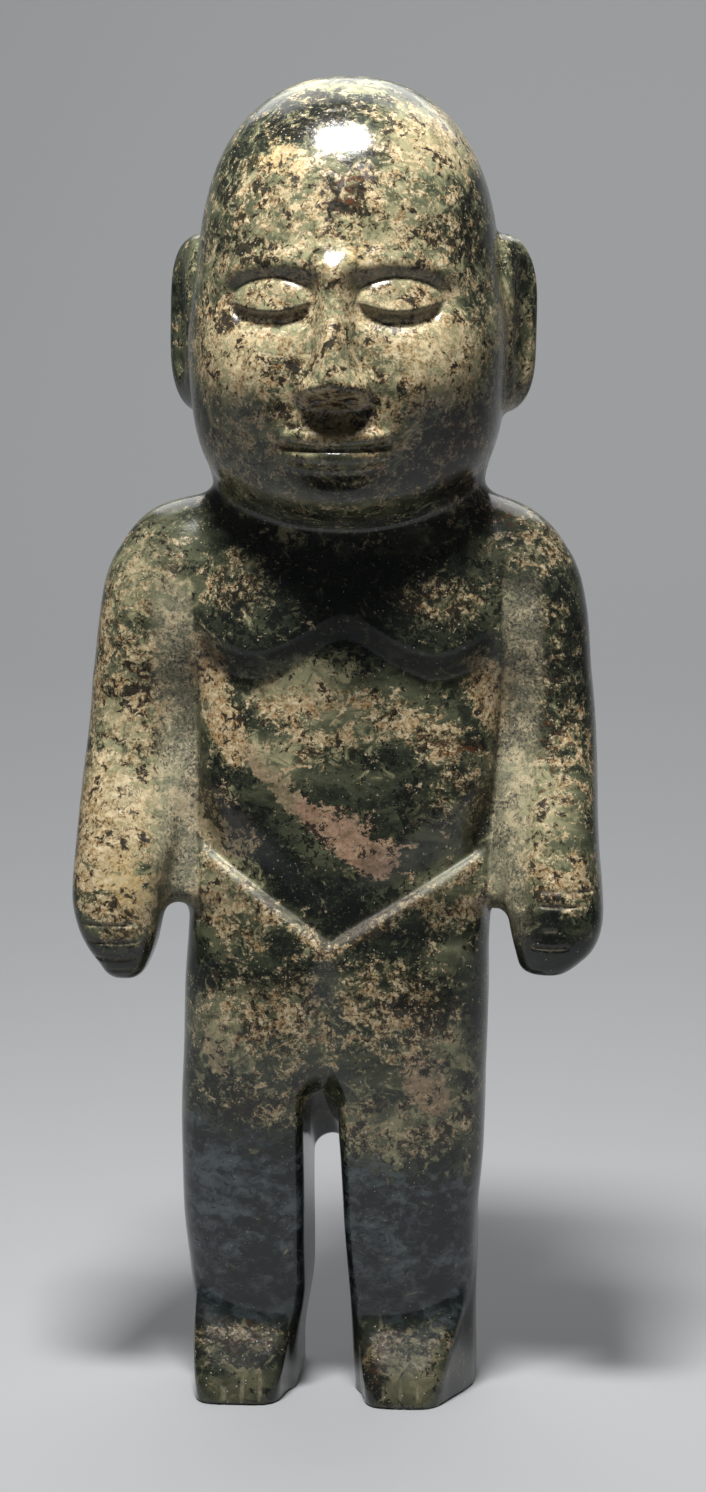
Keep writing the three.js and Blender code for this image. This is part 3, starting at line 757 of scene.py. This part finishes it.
def grooves(x, y, z):
    """Where the cutting was left unpolished and holds dust: 1 in the beds beside the arms"""
    front = smoothstep(6, -2, y)
    off = beside_torso(x, z)
    beds = front * smoothstep(-0.9, 0, off) * smoothstep(10.5, 6.5, off)
    beds *= smoothstep(108, 116, z) * smoothstep(192, 180, z)
    notch = front * hill(np.abs(x - 0.5) - 38.5, z - 114, 5, 6)
    return np.clip(np.maximum(beds, 0.7 * notch), 0, 1)


def under_bevels(x, y, z):
    """The bevels below the chest pads, in their shade: darker and duller than the rest"""
    over = -under_pads(x, z)
    band = smoothstep(-0.6, 0.6, over) * smoothstep(PAD_BEVEL + 0.8, PAD_BEVEL - 0.8, over)
    return band * on_front(y) * smoothstep(PADS_HALF, 30, np.abs(x - PADS_X))


def along_crease(x, y):
    """1 where the V runs across the front, 0 beyond its ends"""
    return smoothstep(36, 30, np.abs(x - 1.5)) * on_front(y)


def below_crease(x, y, z):
    """The lighter band that runs along the top of the hips"""
    return 0.5 * hill(over_crease(x, z) + 2, 0, 1.9, 1) * along_crease(x, y)


def ledge(x, y, z):
    """The lighter edge of the V, stone wear with a painted highlight, and the dust along cut lines"""
    # Stone wear with a painted highlight along the V's edge
    crease = 0.13 * hill(over_crease(x, z) + 0.7, 0, 1.4, 1) * along_crease(x, y)
    beside_groove = smoothstep(0.8, 1.6, np.abs(beside_torso(x, z)))
    cuts = np.clip(0.8 * incised(x, y, z), 0, 1) * beside_groove
    across_eye = (np.abs(x - HEAD_X) - EYE_X) / EYE_HALF_X
    lash = hill(z - (EYE_Z - 2.8) - 2.2 * across_eye**2, 0, 0.7, 1)
    lash *= smoothstep(1.1, 0.9, np.abs(across_eye)) * smoothstep(-20, -26, y)
    return np.clip(crease + cuts + 0.8 * lash, 0, 1)


def paint_layout(figure):
    """Stores how much of each kind of stone there is at every corner"""
    mesh = figure.data
    x, y, z = corners(mesh).T
    bevels = under_bevels(x, y, z)

    def spread(rows):
        return all_round(x, y, z, lambda a, b: patches(a, b, rows))

    layers = {
        "tan": np.maximum(spread(TAN), below_crease(x, y, z)),
        # dark: darker stone, and painted shadow under the chin
        "dark": spread(DARK_STONE_AND_SHADOW),
        "pale": spread(PALE),
        "ochre": spread(OCHRE),
        "rust": spread(RUST),
        "inlay": all_round(x, y, z, lambda a, b: inlay_edge(a, b)[0]),
        "pink": all_round(x, y, z, lambda a, b: inlay_edge(a, b)[1]),
        # deep: painted shade and darker stone, with painted shade under the chest pads' bevels
        "deep": np.maximum(spread(SHADE_AND_DARK_STONE), 0.4 * bevels),
        "bevel": bevels,
        "unpolished": grooves(x, y, z),
        "worn_and_lit_edge": ledge(x, y, z),
        "legs": smoothstep(70, 44, z + 0.25 * x) * smoothstep(12, 22, z),
    }
    for name, values in layers.items():
        store = mesh.attributes.new(name, "FLOAT", "POINT")
        store.data.foreach_set("value", values.astype(np.float32))


def srgb(red, green, blue):
    """A screen colour, each part over 10 and up to 255, as the light that it stands for"""
    light = [((v / 255 + 0.055) / 1.055) ** 2.4 for v in (red, green, blue)]
    return (*light, 1)


class Recipe:
    """One material's nodes, added one after another"""

    def __init__(self, name):
        self.material = bpy.data.materials.new(name)
        self.material.use_nodes = True
        self.tree = self.material.node_tree
        self.shader = self.tree.nodes["Principled BSDF"]
        places = self.node("ShaderNodeTexCoord").outputs["Object"]
        in_millimetres = self.node("ShaderNodeMapping", Vector=places)
        in_millimetres.inputs["Scale"].default_value = (1 / MM,) * 3
        self.place = in_millimetres.outputs["Vector"]

    def node(self, kind, settings=None, **inputs):
        made = self.tree.nodes.new(kind)
        for key, value in (settings or {}).items():
            setattr(made, key, value)
        for key, value in inputs.items():
            self.feed(made.inputs[key.replace("_", " ")], value)
        return made

    def feed(self, socket, value):
        if isinstance(value, bpy.types.NodeSocket):
            self.tree.links.new(value, socket)
        else:
            socket.default_value = value

    def turned(self, lean, stretch):
        """Places turned by some degrees in the front view and stretched along the long side"""
        made = self.node("ShaderNodeMapping", Vector=self.place)
        made.inputs["Rotation"].default_value = (0, radians(lean), 0)
        made.inputs["Scale"].default_value = (1 / stretch, 1, 1)
        return made.outputs["Vector"]

    def noise(self, size, detail=5, roughness=0.55, distortion=0.0, at=None):
        made = self.node(
            "ShaderNodeTexNoise", Vector=at or self.place, Scale=1 / size, Detail=detail,
            Roughness=roughness, Distortion=distortion,
        )
        return made.outputs["Fac"]

    def cells(self, size, feature="F1", at=None):
        place = at or self.place
        return self.node("ShaderNodeTexVoronoi", {"feature": feature}, Vector=place, Scale=1 / size)

    def attribute(self, name):
        return self.node("ShaderNodeAttribute", {"attribute_name": name}).outputs["Fac"]

    def math(self, operation, a, b):
        made = self.node("ShaderNodeMath", {"operation": operation})
        self.feed(made.inputs[0], a)
        self.feed(made.inputs[1], b)
        return made.outputs[0]

    def times(self, a, b):
        return self.math("MULTIPLY", a, b)

    def total(self, *parts):
        """Sum of several values, each times its own share"""
        result = None
        for value, share in parts:
            part = value if share == 1 else self.times(value, share)
            result = part if result is None else self.math("ADD", result, part)
        return result

    def around_zero(self, noise):
        return self.math("SUBTRACT", noise, 0.5)

    def level(self, value, start, end):
        """0 up to start, 1 from end on"""
        made = self.node("ShaderNodeMapRange", {"interpolation_type": "SMOOTHSTEP"}, Value=value)
        made.inputs["From Min"].default_value = start
        made.inputs["From Max"].default_value = end
        return made.outputs["Result"]

    def blend(self, share, under, over):
        made = self.node("ShaderNodeMix", {"data_type": "RGBA"})
        self.feed(made.inputs[0], share)
        self.feed(made.inputs[6], under)
        self.feed(made.inputs[7], over)
        return made.outputs[2]

    def ramp(self, value, *stops):
        made = self.node("ShaderNodeValToRGB", Fac=value)
        band = made.color_ramp.elements
        while len(band) < len(stops):
            band.new(1)
        for mark, (position, colour) in zip(band, stops):
            mark.position = position
            mark.color = colour
        return made.outputs["Color"]

    def between(self, share, low, high):
        made = self.node("ShaderNodeMix", {"data_type": "FLOAT"})
        self.feed(made.inputs[0], share)
        self.feed(made.inputs[2], low)
        self.feed(made.inputs[3], high)
        return made.outputs[0]


# The stone's colours
BLACK_GREEN = srgb(18, 21, 19)
DEEP_GREEN = srgb(40, 44, 34)
GREY_GREEN = srgb(82, 84, 64)
PALE_GREEN = srgb(136, 133, 102)
LEG_GREEN = srgb(20, 26, 28)
LEG_CLOUD = srgb(72, 80, 82)
LIGHT_TAN = srgb(204, 187, 154)
TAN_STONE = srgb(167, 149, 117)
OLIVE_STONE = srgb(118, 113, 87)
OCHRE_STONE = srgb(177, 153, 106)
BROWN_STONE = srgb(70, 48, 26)
WARM_STONE = srgb(138, 108, 68)
PINK_STONE = srgb(150, 120, 99)
PALE_PINK = srgb(178, 152, 124)
DULL_PINK = srgb(108, 84, 64)
SOFT_OLIVE = srgb(100, 94, 68)
RUST_STONE = srgb(74, 45, 29)
GREY_DUST = srgb(156, 146, 118)
MILKY_OLIVE = srgb(124, 121, 92)
CREAM_STONE = srgb(180, 167, 134)
SPARK = srgb(215, 215, 200)


class Mottling:
    """The amounts painted on the figure and the noises that break them up, from broad to fine"""

    def __init__(self, r):
        # dark and deep carry painted shade as well as darker stone
        for name in ("tan", "dark", "pale", "ochre", "rust", "inlay", "pink", "deep", "bevel"):
            setattr(self, name, r.attribute(name))
        self.unpolished = r.attribute("unpolished")
        self.worn_and_lit = r.attribute("worn_and_lit_edge")
        self.grain = r.turned(-38, 2.4)
        self.streak = r.turned(-34, 1.5)
        self.broad = r.noise(8, 5, 0.62, 0.5, self.grain)
        self.cloud = r.noise(4.4, 5, 0.66, 0.9)
        self.flake = r.noise(2.9, 5, 0.68, 0.5, self.streak)
        self.crumb = r.noise(0.85, 3, 0.8, 0.4)
        self.blot = r.noise(1.9, 4, 0.78, 0.5)
        legs = r.total((r.attribute("legs"), 1), (r.around_zero(self.flake), 1.6))
        self.legs = r.level(legs, 0.3, 0.75)


def stone_ground(r, m):
    """The dark and pale greens, and the clouded blue-green of the shins"""
    # dark also carries the painted shadow under the chin
    tone = r.math("SUBTRACT", r.total((m.broad, 1), (m.pale, 0.2)), r.times(m.dark, 0.18))
    ground = r.ramp(tone, (0.3, BLACK_GREEN), (0.46, DEEP_GREEN), (0.62, GREY_GREEN), (0.8, PALE_GREEN))
    pales = r.level(r.total((m.cloud, 1), (m.pale, 0.24)), 0.56, 0.74)
    ground = r.blend(r.times(pales, 0.9), ground, PALE_GREEN)
    soft = r.total((m.broad, 0.4), (m.flake, 0.6))
    smooth = r.blend(r.level(soft, 0.44, 0.62), LEG_GREEN, LEG_CLOUD)
    ground = r.blend(m.legs, ground, smooth)
    grains = r.times(r.level(m.crumb, 0.5, 0.8), r.between(m.legs, 1.0, 0.2))
    return r.blend(grains, ground, GREY_GREEN)


def tan_rind(r, m, ground):
    """The ragged tan crust over the ground with its brown skirt, and how much of it covers a point"""
    ragged = r.total((m.flake, 0.74), (m.crumb, 0.26), (r.math("SUBTRACT", m.tan, m.legs), 0.28))
    cover = r.between(r.level(m.pale, 0.2, 0.6), r.level(ragged, 0.585, 0.63), r.level(ragged, 0.54, 0.7))
    fleck = r.total((m.crumb, 0.55), (r.noise(1.7, 4, 0.7, 0.6, m.streak), 0.45))
    rind = r.ramp(fleck, (0.38, BROWN_STONE), (0.44, WARM_STONE), (0.52, TAN_STONE), (0.62, LIGHT_TAN))
    warm = r.level(r.total((m.blot, 1), (m.ochre, 0.3)), 0.52, 0.72)
    rind = r.blend(r.times(warm, 0.8), rind, OCHRE_STONE)
    halo = r.times(r.level(ragged, 0.53, 0.6), r.level(m.tan, 0.0, 0.25))
    skirt = r.ramp(m.crumb, (0.4, BROWN_STONE), (0.5, OLIVE_STONE), (0.7, PALE_GREEN))
    colour = r.blend(r.times(halo, 0.7), ground, skirt)
    thickness = r.between(r.level(m.cloud, 0.38, 0.55), 0.55, 0.95)
    colour = r.blend(r.times(cover, thickness), colour, rind)
    milky = r.level(r.total((m.cloud, 1), (m.pale, 0.3)), 0.62, 0.76)
    skin = r.blend(r.level(m.flake, 0.42, 0.6), MILKY_OLIVE, CREAM_STONE)
    return r.blend(r.times(milky, 0.55), colour, skin), cover


def inclusions(r, m, colour):
    """The long pinkish and olive patches with frayed edges"""
    frayed = r.total((m.inlay, 1), (r.around_zero(m.flake), 7.0), (r.around_zero(m.crumb), 3.0))
    inside = r.level(frayed, -0.15, 0.3)
    grainy = r.total((m.flake, 0.6), (m.crumb, 0.4))
    warm = r.ramp(grainy, (0.36, DULL_PINK), (0.49, PINK_STONE), (0.62, PALE_PINK))
    cool = r.ramp(grainy, (0.36, SOFT_OLIVE), (0.5, OLIVE_STONE), (0.62, TAN_STONE))
    patch = r.blend(r.level(m.crumb, 0.36, 0.31), r.blend(m.pink, cool, warm), BLACK_GREEN)
    thickness = r.between(r.level(m.cloud, 0.36, 0.56), 0.6, 0.94)
    return r.blend(r.times(inside, thickness), colour, patch)


def blots_and_stains(r, m, colour):
    """Black blots with a brown fringe, rusty stains and dark hairlines"""
    cluster = r.noise(6, 4, 0.6, 0.6, m.streak)
    blots = r.total(
        (m.blot, 1), (r.math("SUBTRACT", m.dark, m.legs), 0.16),
        (r.around_zero(m.flake), 0.4), (r.around_zero(cluster), 0.6),
    )
    fringe = r.times(r.level(blots, 0.54, 0.58), r.level(m.tan, 0.1, 0.4))
    colour = r.blend(r.times(fringe, 0.6), colour, BROWN_STONE)
    colour = r.blend(r.times(r.level(blots, 0.585, 0.62), 0.9), colour, BLACK_GREEN)
    clump = r.total((r.noise(1.5, 4, 0.7, 0.3, m.streak), 0.7), (m.crumb, 0.3))
    stains = r.level(r.math("SUBTRACT", r.times(m.rust, 0.24), clump), -0.36, -0.31)
    stains = r.times(stains, r.level(m.rust, 0.02, 0.2))
    colour = r.blend(r.times(stains, 0.85), colour, RUST_STONE)
    seams = r.cells(13, "DISTANCE_TO_EDGE", m.grain).outputs["Distance"]
    hairline = r.times(r.level(seams, 0.012, 0.004), r.level(m.cloud, 0.5, 0.6))
    return r.blend(r.times(hairline, 0.5), colour, BLACK_GREEN)


def shade_wear_and_dust(r, m, colour):
    """Painted shade over partly darker stone, dust in the arm beds, the lighter edge of the V as stone
    wear with a painted highlight, and bright mineral specks
    """
    # Painted shade: black green laid over the shaded and darker zones
    colour = r.blend(m.deep, colour, BLACK_GREEN)
    dust = r.times(m.unpolished, r.level(r.noise(0.6, 4, 0.8, 0.5), 0.4, 0.6))
    thickness = r.between(r.level(m.flake, 0.42, 0.58), 0.45, 0.9)
    colour = r.blend(r.times(dust, thickness), colour, GREY_DUST)
    # Stone wear with a painted highlight: lighter tan along the V's edge; dust in cut lines
    colour = r.blend(r.times(m.worn_and_lit, r.level(m.crumb, 0.4, 0.55)), colour, TAN_STONE)
    grit = r.cells(1.0)
    dot = r.level(grit.outputs["Distance"], 0.16, 0.08)
    rare = r.node("ShaderNodeSeparateColor", Color=grit.outputs["Color"]).outputs["Red"]
    spark = r.times(dot, r.level(rare, 0.8, 0.82))
    return r.blend(r.times(spark, r.between(m.legs, 0.6, 0.25)), colour, SPARK)


def serpentine():
    """Dark green stone with ragged tan and pale mottling, polished outside the arm beds"""
    r = Recipe("polished_serpentine")
    m = Mottling(r)
    colour, cover = tan_rind(r, m, stone_ground(r, m))
    colour = inclusions(r, m, colour)
    colour = blots_and_stains(r, m, colour)
    colour = shade_wear_and_dust(r, m, colour)

    # Inside the painted shade the rind's roughness and bump are weaker
    outside_shade_and_dark_stone = r.math("SUBTRACT", 1.0, m.deep)
    gloss = r.total((r.between(r.times(cover, outside_shade_and_dark_stone), 0.17, 0.32), 1), (r.around_zero(m.crumb), 0.14))
    gloss = r.between(r.math("MAXIMUM", m.unpolished, r.level(m.worn_and_lit, 0.02, 0.12)), gloss, 0.6)
    gloss = r.between(m.bevel, gloss, 0.75)
    height = r.times(m.crumb, r.between(m.unpolished, r.times(outside_shade_and_dark_stone, 0.4), 1.0))
    bump = r.node("ShaderNodeBump", Strength=0.5, Distance=0.12 * MM, Height=height)
    r.feed(r.shader.inputs["Base Color"], colour)
    r.feed(r.shader.inputs["Roughness"], gloss)
    r.feed(r.shader.inputs["Normal"], bump.outputs["Normal"])
    r.shader.inputs["IOR"].default_value = 1.54
    return r.material


def dress(figure):
    figure.data.materials.clear()
    figure.data.materials.append(serpentine())
    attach(figure, "root")
    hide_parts("standing_figure")


# Table, light and camera, in metres and watts
TARGET = Vector((2.43, 2.94, 148.65)) * MM
DISTANCE = 850 * MM
AZIMUTH = 5
ELEVATION = 7
FOCAL_LENGTH = 89.4
FLOOR_DEPTH = 3.4
FLOOR_MIDDLE = 1.4
FLOOR_WIDENING = 2.2
WALL_HEIGHT = 2.4
SWEEP = 1.5
PAPER_GREY = (0.25, 0.255, 0.26, 1)
ROOM_GREY = (0.8, 0.83, 0.88, 1)
ROOM_GLOW = 0.06
# name, place, aim, width, height, power
LIGHTS = (
    ("overhead_softbox", (-0.03, -0.22, 0.75), (0, 0, 0.2), 0.15, 0.1, 11.4),
    ("back_softbox", (0, 0.65, 1.0), (0, 0, 0.16), 1.2, 0.9, 7),
    ("backdrop_light", (0, 1.3, 1.6), (0, 2.65, 0.3), 2.4, 0.4, 45),
)


def lay_floor():
    bpy.ops.mesh.primitive_plane_add(size=FLOOR_DEPTH, location=(0, FLOOR_MIDDLE, 0))
    floor = bpy.context.object
    floor.name = "pale_floor"
    floor.scale.x = FLOOR_WIDENING
    bpy.ops.object.transform_apply(scale=True)
    bpy.ops.object.mode_set(mode="EDIT")
    bpy.ops.mesh.select_mode(type="EDGE")
    bpy.ops.mesh.select_all(action="DESELECT")
    bpy.ops.object.mode_set(mode="OBJECT")
    for edge in floor.data.edges:
        edge.select = all(floor.data.vertices[i].co.y > 1.5 for i in edge.vertices)
    bpy.ops.object.mode_set(mode="EDIT")
    bpy.ops.mesh.extrude_region_move(TRANSFORM_OT_translate={"value": (0, 0, WALL_HEIGHT)})
    bpy.ops.object.mode_set(mode="OBJECT")
    sweep = floor.modifiers.new("sweep", "BEVEL")
    sweep.width = SWEEP
    sweep.segments = 24
    bpy.ops.object.modifier_apply(modifier=sweep.name)
    bpy.ops.object.shade_smooth()
    paper = bpy.data.materials.new("pale_paper")
    paper.use_nodes = True
    shader = paper.node_tree.nodes["Principled BSDF"]
    shader.inputs["Base Color"].default_value = PAPER_GREY
    shader.inputs["Roughness"].default_value = 0.7
    floor.data.materials.append(paper)


def hang_light(name, place, aim, width, height, power):
    bpy.ops.object.light_add(type="AREA", location=place)
    light = bpy.context.object
    light.name = name
    light.data.shape = "RECTANGLE"
    light.data.size = width
    light.data.size_y = height
    light.data.energy = power
    light.rotation_euler = (Vector(aim) - Vector(place)).to_track_quat("-Z", "Y").to_euler()


def light_scene():
    for light in LIGHTS:
        hang_light(*light)
    world = bpy.data.worlds.new("soft_room")
    world.use_nodes = True
    background = world.node_tree.nodes["Background"]
    background.inputs["Color"].default_value = ROOM_GREY
    background.inputs["Strength"].default_value = ROOM_GLOW
    bpy.context.scene.world = world
    bpy.context.scene.view_settings.view_transform = "Standard"


def set_camera():
    a, e = radians(AZIMUTH), radians(ELEVATION)
    back = Vector((sin(a) * cos(e), -cos(a) * cos(e), sin(e)))
    bpy.ops.object.camera_add(location=TARGET + back * DISTANCE)
    camera = bpy.context.object
    camera.rotation_euler = (-back).to_track_quat("-Z", "Y").to_euler()
    camera.data.lens = FOCAL_LENGTH
    bpy.context.scene.camera = camera


figure = carve_figure()
paint_layout(figure)
dress(figure)
lay_floor()
light_scene()
set_camera()
